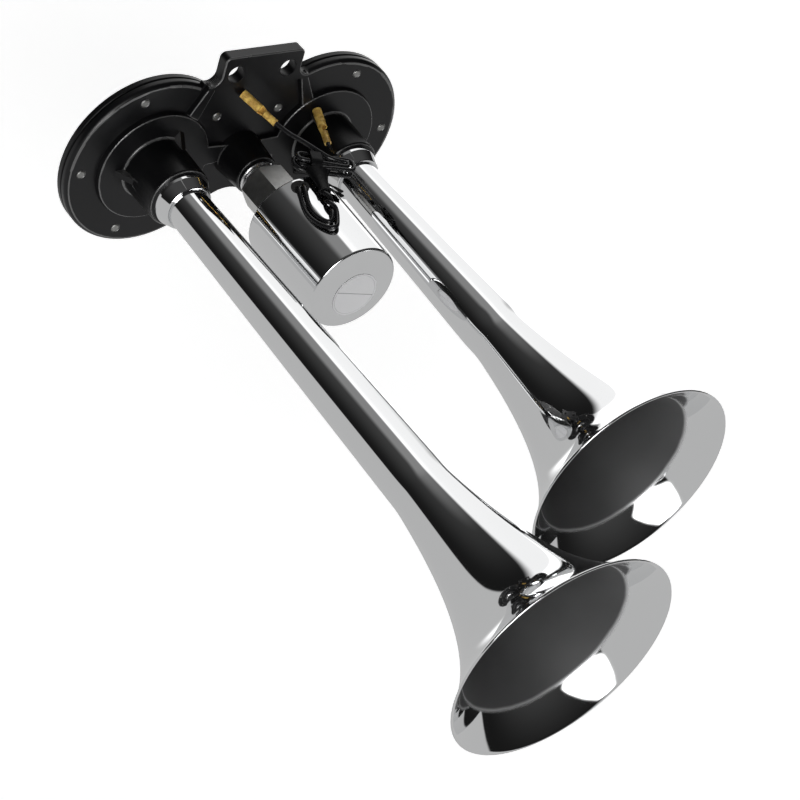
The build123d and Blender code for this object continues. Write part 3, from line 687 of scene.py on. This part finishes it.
def trumpet_side(length, bell, depth):
    """One side of the trumpet's sheet from its root to near its rim."""
    root = Vector((TUBE_ROOT_R - depth, TUBE_ROOT_Z))
    straight = Vector((TUBE_ROOT_R - depth, TUBE_STRAIGHT))
    neck = Vector((TUBE_END_R - depth, length - FLARE_LENGTH))
    flare = [flare_point(length, bell, back, depth) for back in FLARE_BACKS]
    taper = (neck - straight) / (neck.y - straight.y)
    ahead = (flare[1] - flare[0]) / (flare[1].y - flare[0].y)
    gap = flare[0].y - neck.y
    points = [root, straight, straight.lerp(neck, 0.33), straight.lerp(neck, 0.67)]
    # From the taper into the flare: a cubic that keeps the slope of each at its ends.
    for step in range(NECK_STEPS):
        t = step / NECK_STEPS
        points.append(neck * (2 * t ** 3 - 3 * t ** 2 + 1) + flare[0] * (3 * t ** 2 - 2 * t ** 3)
                      + taper * gap * (t ** 3 - 2 * t ** 2 + t) + ahead * gap * (t ** 3 - t ** 2))
    return points + flare


def trumpet(name, side, length, bell):
    """A spun trumpet with an even wall and a rounded rim."""
    outer = trumpet_side(length, bell, 0)
    inner = trumpet_side(length, bell, TRUMPET_WALL)
    middle = (outer[-1] + inner[-1]) / 2
    arm = outer[-1] - middle
    ahead = (outer[-1] - outer[-2] + inner[-1] - inner[-2]).normalized() * arm.length * RIM_FULLNESS
    rim = []
    for step in range(1, RIM_STEPS):
        turn = math.pi * step / RIM_STEPS
        rim.append(middle + arm * math.cos(turn) + ahead * math.sin(turn))
    profile = outer + rim + inner[::-1] + [outer[0]]
    piece = turned(name, (side * AXIS_X, 0), profile)
    only(piece)
    bpy.ops.object.shade_smooth_by_angle(angle=math.radians(50))
    return piece


def line_bell(piece, side, length):
    """Gives the faces that look towards the trumpet's own axis the finish of its inside."""
    axis = bench(side * AXIS_X, 0, 0)

    def looks_inward(face):
        outward = Vector((face.center.x - axis.x, 0, face.center.z - axis.z))
        return face.normal.dot(outward.normalized()) < INWARD

    lined(piece, bell_inside(piece.name + "_inside", length), looks_inward)


class AIR_HORN_OT_trumpets(Operator):
    """Turn the long and the short trumpet"""

    bl_idname = "air_horn.trumpets"
    bl_label = "Trumpets"

    def execute(self, context):
        for which, (side, length, bell) in TRUMPETS.items():
            piece = trumpet(which + "_trumpet_chrome", side, length, bell)
            finished(piece, "chrome", replaced=[which + "_trumpet"])
            line_bell(piece, side, length)
        return {"FINISHED"}


class AIR_HORN_OT_collars(Operator):
    """Turn the collar at each trumpet's root"""

    bl_idname = "air_horn.collars"
    bl_label = "Collars"

    def execute(self, context):
        corners = [(COLLAR_BORE, TUBE_ROOT_Z), (COLLAR_R, TUBE_ROOT_Z), (COLLAR_R, COLLAR_SHOULDER),
                   (COLLAR_END_R, COLLAR_END), (COLLAR_BORE, COLLAR_END)]
        profile = rounded(corners, (0, 0, 0.9, 0.45, 0))
        for which, (side, *_) in TRUMPETS.items():
            piece = turned(which + "_collar_chrome", (side * AXIS_X, 0), profile + profile[:1])
            smoothed(piece, 35)
            finished(piece, "chrome", replaced=[which + "_collar"])
        return {"FINISHED"}


# ---- valve --------------------------------------------------------------------------------
class AIR_HORN_OT_can(Operator):
    """Draw the valve's chrome can and the label on its end"""

    bl_idname = "air_horn.can"
    bl_label = "Valve can"

    def execute(self, context):
        bore = CAN_R - CAN_WALL
        corners = [(bore, CAN_START), (CAN_R, CAN_START), (CAN_R, CAN_END), (0, CAN_END),
                   (0, CAN_END - CAN_WALL), (bore, CAN_END - CAN_WALL)]
        profile = rounded(corners, (0.3, 0.35, CAN_EDGE, 0, 0, 0.6), 6)
        piece = turned("valve_can_chrome", (0, VALVE_Y), profile + profile[:1])
        smoothed(piece, 35)
        finished(piece, "chrome", replaced=["valve_can"])
        top = CAN_END + LABEL_T
        film = [(0, CAN_END), (LABEL_R, CAN_END), (LABEL_R - 0.05, top), (0, top)]
        label = turned("valve_label", (LABEL_X, LABEL_Y), film, FINE_STEPS)
        smoothed(label, 35)
        finished(label, "chrome")
        lined(label, label_film())
        return {"FINISHED"}


def dressed_copy(node, name, width=0.0):
    """A merged copy of a CAD node, with its edges broken where a width is given."""
    source = frame["nodes"][node]
    piece = source.copy()
    piece.data = source.data.copy()
    piece.name = name
    piece.data.name = name
    piece.parent = None
    for key in list(piece.keys()):
        del piece[key]
    bpy.context.scene.collection.objects.link(piece)
    only(piece)
    if piece.data.has_custom_normals:
        bpy.ops.mesh.customdata_custom_splitnormals_clear()
    edit_all(piece)
    bpy.ops.mesh.remove_doubles(threshold=MERGE_DISTANCE * MM)
    bpy.ops.mesh.dissolve_limited(angle_limit=math.radians(1.0))
    bpy.ops.mesh.normals_make_consistent(inside=False)
    to_object_mode()
    if width:
        bevelled(piece, width, settings("meshing").edge_steps)
    smoothed(piece, 40)
    return piece


class AIR_HORN_OT_return_spring(Operator):
    """Dress a merged copy of the return spring in spring steel"""

    bl_idname = "air_horn.return_spring"
    bl_label = "Return spring"

    def execute(self, context):
        spring = dressed_copy("return_spring", "return_spring_coil")
        finished(spring, "spring_steel", replaced=["return_spring"])
        low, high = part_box("return_spring")
        joints = frame["record"]["behaviour"]["joints"]
        travel = max(abs(end) for joint in joints for end in joint["range_m"])
        tuple(bench(0, VALVE_Y, CORE_FACE))
        1 - travel / (high[1] - low[1])
        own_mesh(spring)
        return {"FINISHED"}


class AIR_HORN_OT_valve_body(Operator):
    """Dress the valve's hexagon and cut the thread of its nipple"""

    bl_idname = "air_horn.valve_body"
    bl_label = "Valve body"

    def execute(self, context):
        hexagon = dressed_copy("valve_body", "valve_hexagon", settings("meshing").edge_break)
        finished(hexagon, "hex_steel", replaced=["valve_body"])
        root = THREAD_R - THREAD_DEPTH
        profile = [(root, THREAD_START)]
        for turn in range(int((THREAD_END - THREAD_START) / THREAD_PITCH)):
            profile += [(root + height, THREAD_START + (turn + place) * THREAD_PITCH)
                        for place, height in THREAD_TURN]
        profile += [(root, THREAD_END), (THREAD_BORE, THREAD_END), (THREAD_BORE, THREAD_START), profile[0]]
        thread = turned("valve_thread", (0, VALVE_Y), profile, FINE_STEPS)
        smoothed(thread, 35)
        finished(thread, "hex_steel")
        lined(thread, brushed_steel("thread_steel", (0.95, 0.95, 0.96), roughness=0.26, grain=0.0010))
        return {"FINISHED"}


# ---- wires --------------------------------------------------------------------------------
def twist(phase):
    """One lead's (turn, distance, z) points where the two are twisted together."""
    points = []
    for step in range(TWIST_STEPS + 1):
        turn, distance, z = Vector(TWIST_START).lerp(Vector(TWIST_END), step / TWIST_STEPS)
        angle = phase + math.tau * TWIST_TURNS * step / TWIST_STEPS
        points.append((turn + math.degrees(TWIST_R * math.cos(angle) / distance),
                       distance + TWIST_R * math.sin(angle), z))
    return points


def lead_route(root, phase, folds, end, terminal):
    """The lead's points from the can through the hank into its terminal's crimp."""
    tip, aim = Vector(terminal[0]), Vector(terminal[1])
    along = (tip - aim).normalized()
    foot = tip - along * TERMINAL_LENGTH
    points = [Vector(on_can(*point)) for point in (*root, *twist(phase))]
    points += [in_hank(*point) for point in folds]
    points += [Vector(point) for point in end]
    points += [foot - along * CRIMP_DEPTH, foot + along * CRIMP_DEPTH]
    return [bench(*point) for point in points]


def lead(name, points):
    """A round wire on one smooth curve."""
    curve = bpy.data.curves.new(name, "CURVE")
    curve.dimensions = "3D"
    spline = curve.splines.new("NURBS")
    spline.points.add(len(points) - 1)
    for point, place in zip(spline.points, points):
        point.co = (*place, 1.0)
    spline.order_u = 3
    spline.use_endpoint_u = True
    spline.resolution_u = 8
    curve.bevel_depth = WIRE_R * MM
    curve.bevel_resolution = 5
    curve.use_fill_caps = True
    piece = bpy.data.objects.new(name, curve)
    bpy.context.scene.collection.objects.link(piece)
    return piece


class AIR_HORN_OT_leads(Operator):
    """Lay the two leads from the can through the hank to their terminals"""

    bl_idname = "air_horn.leads"
    bl_label = "Leads"

    def execute(self, context):
        plans = (
            ("lead_a", LEAD_A_ROOT, 0.0, LEAD_A_FOLDS, LEAD_A_END, TERMINAL_A, LEAD_A_LENGTH,
             ["lead_a_root", "lead_a_end", "lead_hank"]),
            ("lead_b", LEAD_B_ROOT, math.pi, LEAD_B_FOLDS, LEAD_B_END, TERMINAL_B, LEAD_B_LENGTH,
             ["lead_b_root", "lead_b_end"]),
        )
        for name, root, phase, folds, end, terminal, length, nodes in plans:
            route = lead_route(root, phase, folds, end, terminal)
            piece = finished(lead(name, route), "wire_black", replaced=nodes)
        return {"FINISHED"}


def tape_end(name, points):
    """A flat end of tape through a few points, turning a little as it goes."""
    piece = added("plane", name, size=MM)
    edit_all(piece)
    bpy.ops.transform.resize(value=(WRAP_TAIL_T, WRAP_TAIL_WIDTH, 1), center_override=(0, 0, 0))
    bpy.ops.transform.rotate(value=math.pi / 2, orient_axis="Y", center_override=(0, 0, 0))
    bpy.ops.transform.translate(value=points[0])
    for before, after in zip(points, points[1:]):
        bpy.ops.mesh.extrude_region_move(TRANSFORM_OT_translate={"value": after - before})
        bpy.ops.transform.rotate(value=math.radians(WRAP_TAIL_TURN), orient_axis="X", center_override=after)
    bpy.ops.mesh.select_all(action="SELECT")
    bpy.ops.mesh.normals_make_consistent(inside=False)
    to_object_mode()
    bevelled(piece, WRAP_TAIL_EDGE * MM, 2)
    smoothed(piece, 40)
    return piece


def tape_cone(length):
    """The tape round the leads, upright at the origin: a flat cone, drawn in at each turn's edge."""
    piece = added("cone", "tape_wrap", vertices=48, radius1=WRAP_START_R * MM, radius2=WRAP_END_R * MM,
                  depth=length, location=(0, 0, 0))
    edit_all(piece)
    bpy.ops.transform.resize(value=(1, WRAP_FLATNESS, 1), center_override=(0, 0, 0))
    for place, lean in WRAP_TURNS:
        bpy.ops.mesh.select_all(action="SELECT")
        bpy.ops.mesh.bisect(plane_co=(0, 0, place * length), plane_no=(lean, 0.1, 1))
        bpy.ops.transform.resize(value=(WRAP_TURN_WAIST, WRAP_TURN_WAIST, 1), center_override=(0, 0, 0))
    to_object_mode()
    bevelled(piece, WRAP_EDGE * MM, 3, 14)
    return piece


class AIR_HORN_OT_wrap(Operator):
    """Wrap tape round the two leads where they leave the hank, with its two loose ends"""

    bl_idname = "air_horn.wrap"
    bl_label = "Tape wrap"

    def execute(self, context):
        start, end = bench(*on_can(*WRAP_START)), bench(*on_can(*WRAP_END))
        length = (end - start).length
        along = (end - start) / length
        outward = start - bench(0, VALVE_Y, WRAP_START[2])
        across = outward.cross(along).normalized()
        outward = along.cross(across)
        turn = Matrix((across, outward, along)).transposed().to_4x4()
        piece = tape_cone(length)
        piece.matrix_world = Matrix.Translation((start + end) / 2) @ turn
        only(piece)
        bpy.ops.object.transform_apply(location=True, rotation=True, scale=True)
        smoothed(piece, 50)
        finished(piece, "tie_black")
        for index, points in enumerate(WRAP_TAILS):
            finished(tape_end(f"tape_end_{index}", [bench(*point) for point in points]), "tie_black")
        return {"FINISHED"}


# ---- castings -----------------------------------------------------------------------------
def breadth(mesh, face):
    """About how wide a long face is."""
    ends = [(mesh.vertices[a].co, mesh.vertices[b].co) for a, b in face.edge_keys]
    return 2 * face.area / sum((a - b).length for a, b in ends)


def takes_wear_and_painted_highlight(mesh, face):
    """Whether a face is an edge or the side of a gusset, which get lighter paint: wear and a painted
    highlight.
    """
    z = BRACKET_BACK - face.center.y / MM
    if z < -RIM_DEPTH:
        return False
    narrow = breadth(mesh, face) < NARROW_FACE * MM
    if z > GUSSET_TOP:
        return narrow and MOUTH_LEAN[0] < -face.normal.y < MOUTH_LEAN[1]
    return narrow or on_gusset(face)


def slim_boss(piece):
    """Draws in the wall of the valve's boss, which is slimmer than its solid."""
    axis = bench(0, VALVE_Y, 0)

    def on_wall(vertex):
        reach = math.hypot(vertex.co.x - axis.x, vertex.co.z - axis.z) / MM
        return vertex.co.y < axis.y + 0.05 * MM and BOSS_INNER_R < reach < BOSS_OUTER_R

    edit_some(piece, "VERT", on_wall)
    bpy.ops.transform.resize(value=(BOSS_SLIMMING, 1, BOSS_SLIMMING), center_override=axis)
    bpy.ops.transform.translate(value=(0, 0, BOSS_RISE * MM))
    to_object_mode()


def soften_pocket(piece):
    """Rounds the long edge over the pocket, under the bracket's two holes."""

    def over_pocket(edge):
        ends = [piece.data.vertices[index].co / MM for index in edge.vertices]
        return (ends[0] - ends[1]).length > POCKET_EDGE_LENGTH and all(
            abs(end.z + HOLE_Y - POCKET_TOP) < 0.5 and abs(end.y - BRACKET_FRONT) < 0.5
            and abs(end.x) < POCKET_HALF_WIDTH for end in ends)

    edit_some(piece, "EDGE", over_pocket)
    bpy.ops.mesh.bevel(offset=POCKET_ROUND * MM, segments=3, affect="EDGES")
    bpy.ops.mesh.select_mode(type="VERT")
    to_object_mode()


def pocket_rib(side):
    """One of the two slanting ribs between the bracket's foot and a raised disc."""
    name = "rib_left" if side < 0 else "rib_right"
    piece = drawn_line(name, [bench(side * x, y, RIB_FOOT) for x, y in RIB])
    bpy.ops.mesh.select_all(action="SELECT")
    bpy.ops.mesh.edge_face_add()
    to_object_mode()
    if piece.data.polygons[0].normal.dot(BELLS) < 0:
        edit_all(piece)
        bpy.ops.mesh.flip_normals()
    edit_all(piece)
    bpy.ops.mesh.inset(thickness=RIB_DRAFT * MM, depth=(RIB_TOP - RIB_FOOT) * MM)
    to_object_mode()
    bevelled(piece, RIB_EDGE * MM, settings("meshing").edge_steps)
    smoothed(piece, 50)
    return piece


def on_gusset(face):
    """Whether a face is the side of one of the fins round a trumpet socket."""
    z = BRACKET_BACK - face.center.y / MM
    out = Vector((abs(face.center.x) / MM - AXIS_X, face.center.z / MM + HOLE_Y))
    facing = Vector((math.copysign(face.normal.x, face.center.x * face.normal.x), face.normal.z))
    return (GUSSET_FOOT < z < GUSSET_TOP and SOCKET_R < out.length < GUSSET_REACH
            and abs(face.normal.y) < FIN_LEAN and abs(facing.dot(out.normalized())) < FIN_TURN)


class AIR_HORN_OT_castings(Operator):
    """Dress the painted casting, its two slanting ribs and the rear covers"""

    bl_idname = "air_horn.castings"
    bl_label = "Castings"

    def execute(self, context):
        wear_and_painted_highlight = edge_wear_and_painted_highlight()
        pieces = {}
        for node in ("front_housing", "long_rear_cover", "short_rear_cover"):
            pieces[node] = dressed_copy(node, node + "_painted", settings("meshing").edge_break)
        slim_boss(pieces["front_housing"])
        soften_pocket(pieces["front_housing"])
        pieces["left"], pieces["right"] = pocket_rib(-1), pocket_rib(1)
        for node, piece in pieces.items():
            finished(piece, "housing_black", replaced=[node] if node in frame["nodes"] else ())
            # Narrow edges and the gussets' sides get lighter paint: wear and a painted highlight.
            lined(piece, wear_and_painted_highlight, lambda face: takes_wear_and_painted_highlight(piece.data, face))
        return {"FINISHED"}


class AIR_HORN_OT_carried_pieces(Operator):
    """Give every CAD piece that keeps its shape its finish"""

    bl_idname = "air_horn.carried_pieces"
    bl_label = "Other pieces"

    def execute(self, context):
        slots = {part["node"]: part["material_slot"] for part in frame["record"]["subparts"]}
        for name, node in frame["nodes"].items():
            node.data.materials.clear()
            node.data.materials.append(finish_of(slots[name]))
        return {"FINISHED"}


# ---- studio -------------------------------------------------------------------------------
CAMERA_PLACE = (-0.6320, -0.7618, 0.6040)
CAMERA_TURN = (50.5617, -15.1948, -34.1944)
CAMERA_LENS = 110.753
SENSOR = 36.0
FLOOR_SIZE, COVE_R = 6.0, 2.9
# Each window: azimuth from and to, elevation from and to, strength, softness of its edge in degrees.
STUDIO_WINDOWS = (
    ((150, 205), (44, 92), 0.20, 9.0),
    ((122, 164), (-32, 60), 1.0, 4.0),
    ((322, 350), (1, 34), 6.0, 2.5),
)


def window(recipe, azimuth, height, across, up, soft):
    """1 within a soft-edged window of the sky, from and to these angles in degrees, and 0 outside."""
    left = recipe.smooth_step(azimuth, across[0] - soft, across[0] + soft)
    right = recipe.smooth_step(azimuth, across[1] + soft, across[1] - soft)
    low = recipe.smooth_step(height, up[0] - soft, up[0] + soft)
    high = recipe.smooth_step(height, up[1] + soft, up[1] - soft)
    return left * right * low * high


def studio_sky(studio):
    """What the chrome mirrors: a grey table, dark walls, a dim rear ceiling and two bright windows.

    Azimuth is 0 where the bells point and grows towards the short trumpet.
    """
    world = bpy.data.worlds.new("studio_world")
    world.use_nodes = True
    sky = Recipe(world.node_tree)
    way = sky.node("TexCoord", output="Generated")
    x, y, z = [sky.node("SeparateXYZ", {}, {"Vector": way}, output=axis) for axis in "XYZ"]
    azimuth = sky.node("Math", {"operation": "ARCTAN2"}, {0: x, 1: 0.0 - y}) * math.degrees(1)
    height = sky.node("Math", {"operation": "ARCSINE"}, {0: z}) * math.degrees(1)
    around = sky.node("Math", {"operation": "FLOORED_MODULO"}, {0: azimuth, 1: 360.0})
    table = sky.smooth_step(height, 1.0, -1.0)
    wall = 0.010 + 0.045 * sky.smooth_step(height, 5.0, 60.0)
    light = wall + (studio.table_light - wall) * table
    for across, up, strength, soft in STUDIO_WINDOWS:
        light = light + window(sky, around, height, across, up, soft) * strength
    background = world.node_tree.nodes["Background"]
    sky.join(light * studio.world_light, background.inputs["Strength"])
    background.inputs["Color"].default_value = (1, 1, 1, 1)
    return world


class AIR_HORN_OT_stage(Operator):
    """Set up the camera, the pale floor and cove, and the sky that the chrome mirrors"""

    bl_idname = "air_horn.stage"
    bl_label = "Studio"

    def execute(self, context):
        studio = settings("studio")
        camera = bpy.data.cameras.new("studio_camera")
        camera.sensor_width = SENSOR
        camera.lens = CAMERA_LENS
        holder = bpy.data.objects.new("studio_camera", camera)
        context.scene.collection.objects.link(holder)
        holder.location = CAMERA_PLACE
        holder.rotation_euler = [math.radians(angle) for angle in CAMERA_TURN]
        context.scene.camera = holder
        context.scene.view_settings.view_transform = "Standard"

        floor_z = cad_box[0][2] - studio.floor_drop
        floor = added("plane", "studio_floor", size=FLOOR_SIZE, location=(0, 0, floor_z))
        paper = Finish("floor_paper", Roughness=0.9, Emission_Strength=studio.floor_glow)
        shade_of_white = paper.tint(paper.noise(0.4), (0.90, 0.90, 0.90), (0.92, 0.92, 0.92))
        paper.feed("Base Color", shade_of_white)
        paper.feed("Emission Color", shade_of_white)
        floor.data.materials.append(paper.material)
        floor.visible_glossy = False

        cove = added("uv_sphere", "studio_cove", radius=COVE_R, segments=64, ring_count=32,
                     location=(0, 0, floor_z))
        lit = Finish("cove_paper", Roughness=1.0, Base_Color=(0, 0, 0), Emission_Strength=1.0)
        lit.feed("Emission Color", lit.tint(lit.noise(1.0), (0.97, 0.97, 0.97), (1.0, 1.0, 1.0)))
        cove.data.materials.append(lit.material)
        cove.visible_glossy = False
        cove.visible_diffuse = False
        cove.visible_shadow = False

        context.scene.world = studio_sky(studio)
        return {"FINISHED"}


# ---- panel --------------------------------------------------------------------------------
STEPS = (
    AIR_HORN_OT_stage,
    AIR_HORN_OT_carried_pieces,
    AIR_HORN_OT_leads,
    AIR_HORN_OT_wrap,
    AIR_HORN_OT_trumpets,
    AIR_HORN_OT_collars,
    AIR_HORN_OT_can,
    AIR_HORN_OT_valve_body,
    AIR_HORN_OT_return_spring,
    AIR_HORN_OT_castings,
)


class AIR_HORN_PT_sidebar(Panel):
    """Lists the horn's settings and steps"""

    bl_idname = "AIR_HORN_PT_sidebar"
    bl_label = "Air Horn"
    bl_space_type = "VIEW_3D"
    bl_region_type = "UI"
    bl_category = "Air Horn"

    def draw(self, context):
        for name, group in GROUPS.items():
            box = self.layout.box()
            for prop in group.__annotations__:
                box.prop(settings(name), prop)
        for step in STEPS:
            self.layout.operator(step.bl_idname)


GROUPS = {"meshing": HornMeshing, "colours": HornColours, "studio": HornStudio}
CLASSES = (*GROUPS.values(), *STEPS, AIR_HORN_PT_sidebar)


def register():
    """Makes the classes and the scene's settings known."""
    for item in CLASSES:
        bpy.utils.register_class(item)
    for name, group in GROUPS.items():
        setattr(bpy.types.Scene, "air_horn_" + name, PointerProperty(type=group))


def unregister():
    """Takes them away again."""
    for name in GROUPS:
        delattr(bpy.types.Scene, "air_horn_" + name)
    for item in reversed(CLASSES):
        bpy.utils.unregister_class(item)


def run(step):
    """Calls one step's operator, and stops if it didn't finish."""
    group, name = step.bl_idname.split(".")
    if getattr(getattr(bpy.ops, group), name)() != {"FINISHED"}:
        raise RuntimeError(step.bl_label + " didn't finish")


def main():
    """Runs every step in order."""
    register()
    for step in STEPS:
        run(step)
    bpy.context.view_layer.update()


if __name__ == "__main__":
    main()
